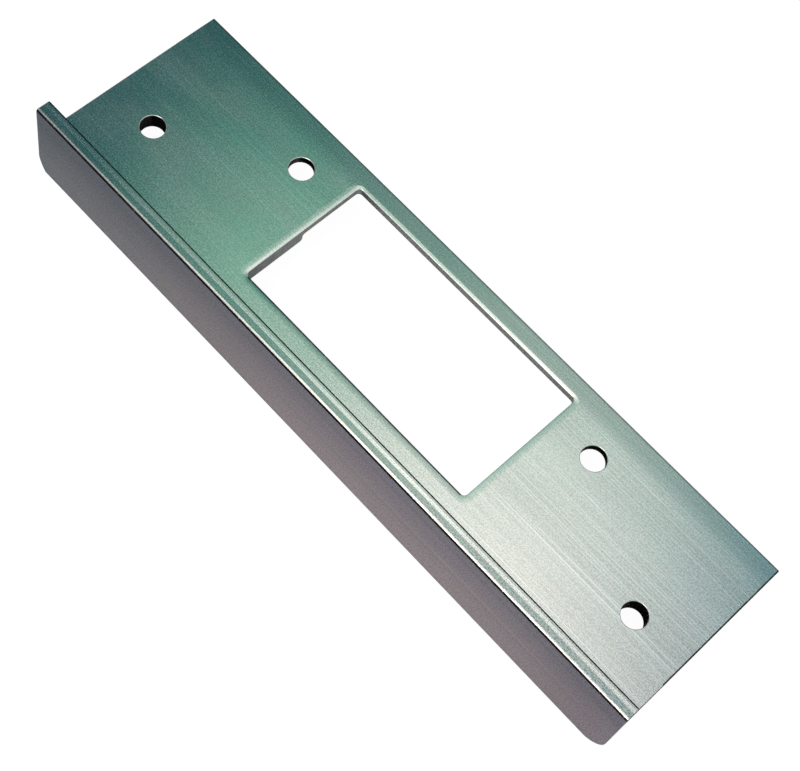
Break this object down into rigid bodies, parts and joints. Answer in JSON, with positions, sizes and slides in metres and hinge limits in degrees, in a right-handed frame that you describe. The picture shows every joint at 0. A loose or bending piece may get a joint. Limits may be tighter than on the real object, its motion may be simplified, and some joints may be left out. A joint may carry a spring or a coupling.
{
  "type": "latch guard plate",
  "caption": "Extruded aluminium latch guard plate: a stepped flat plate with a punched strike window and screw holes, and a tall flange along its near edge.",
  "frame": {"origin": "on the seat, which is the underside of the plate's thicker half, midway between the outer screw holes", "axes": "+X along the length towards the flange's fully rounded lower corner, +Y from the flange to the far edge, +Z out of the visible face"},
  "size_m": [0.2032, 0.0592, 0.0269],
  "materials": {
    "brushed_aluminium": "bare extruded metal, satin, with a grain along its length"
  },
  "bodies": {
    "root": {"guard_plate": "brushed_aluminium"}
  },
  "joints": []
}
